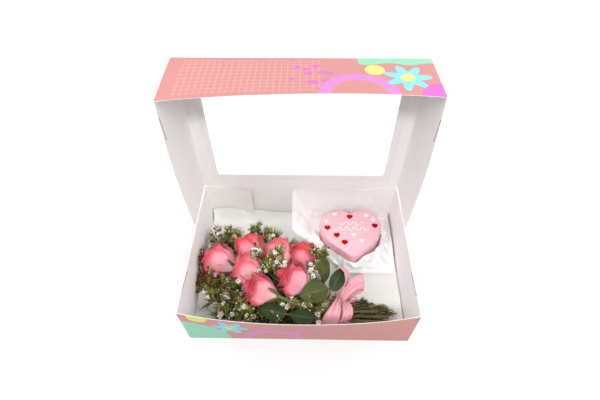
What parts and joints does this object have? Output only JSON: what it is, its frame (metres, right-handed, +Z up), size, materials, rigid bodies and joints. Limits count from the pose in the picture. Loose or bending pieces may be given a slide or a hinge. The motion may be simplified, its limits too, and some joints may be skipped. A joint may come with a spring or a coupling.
{
  "type": "flower gift box",
  "caption": "Windowed gift carton with a hinged lid standing open, holding a ribbon-tied rose bouquet and a small heart-shaped iced cake on paper.",
  "frame": {"origin": "centre of the tray floor's underside, on the table", "axes": "+X to the right along the width, +Y back towards the hinge, +Z up"},
  "size_m": [0.3028, 0.2195, 0.2973],
  "materials": {
    "printed_board": "matt coral print outside, white inside",
    "window_film": "clear film",
    "liner_paper": "matt",
    "greaseproof_paper": "satin, slightly translucent",
    "sponge": "crumb",
    "cream": "satin",
    "pink_frosting": "satin",
    "red_icing": "glossy",
    "white_icing": "satin",
    "rose_petal": "velvety",
    "green_stem": "satin",
    "foliage": "satin",
    "waxflower": "satin",
    "tie_cord": "matt",
    "satin_ribbon": "satin sheen"
  },
  "bodies": {
    "tray": {"tray_floor": "printed_board", "tray_front_wall": "printed_board", "tray_back_wall": "printed_board", "tray_left_wall": "printed_board", "tray_right_wall": "printed_board", "tray_front_left_flap": "printed_board", "tray_front_right_flap": "printed_board", "tray_back_left_flap": "printed_board", "tray_back_right_flap": "printed_board", "hinge_crease": "printed_board", "floor_liner": "liner_paper"},
    "lid": {"lid_panel": "printed_board", "lid_front_wall": "printed_board", "lid_left_wall": "printed_board", "lid_right_wall": "printed_board", "lid_left_flap": "printed_board", "lid_right_flap": "printed_board", "window_film": "window_film"},
    "cake": {"frosting_coat": "pink_frosting", "lower_sponge": "sponge", "cream_filling": "cream", "upper_sponge": "sponge", "red_icing_hearts": "red_icing", "white_icing_hearts": "white_icing", "piped_icing_scallops": "white_icing", "cake_paper": "greaseproof_paper"},
    "bouquet": {"rose_1_bloom": "rose_petal", "rose_2_bloom": "rose_petal", "rose_3_bloom": "rose_petal", "rose_4_bloom": "rose_petal", "rose_5_bloom": "rose_petal", "rose_6_bloom": "rose_petal", "rose_7_bloom": "rose_petal", "rose_1_stem": "green_stem", "rose_2_stem": "green_stem", "rose_3_stem": "green_stem", "rose_4_stem": "green_stem", "rose_5_stem": "green_stem", "rose_6_stem": "green_stem", "rose_7_stem": "green_stem", "foliage_leaf_1": "foliage", "foliage_leaf_2": "foliage", "foliage_leaf_3": "foliage", "foliage_leaf_4": "foliage", "foliage_leaf_5": "foliage", "waxflower_sprig_1": "waxflower", "waxflower_sprig_2": "waxflower", "waxflower_sprig_3": "waxflower", "waxflower_sprig_4": "waxflower", "waxflower_sprig_5": "waxflower", "waxflower_sprig_6": "waxflower", "waxflower_sprig_7": "waxflower", "waxflower_sprig_8": "waxflower", "binding_tie": "tie_cord", "ribbon_band": "satin_ribbon", "ribbon_knot": "satin_ribbon", "ribbon_loop_right": "satin_ribbon", "ribbon_loop_back": "satin_ribbon", "ribbon_loop_front": "satin_ribbon", "ribbon_tail_front": "satin_ribbon"}
  },
  "joints": [
    {"name": "lid_hinge", "type": "hinge", "parent": "tray", "child": "lid", "pos_m": [0, 0.1057, 0.081], "axis": [-1, 0, 0], "range_deg": [-92, 88]},
    {"name": "bouquet_lift", "type": "slide", "parent": "tray", "child": "bouquet", "axis": [0, 0, 1], "range_m": [0, 0.15]},
    {"name": "cake_lift", "type": "slide", "parent": "tray", "child": "cake", "axis": [0, 0, 1], "range_m": [0, 0.15]}
  ]
}
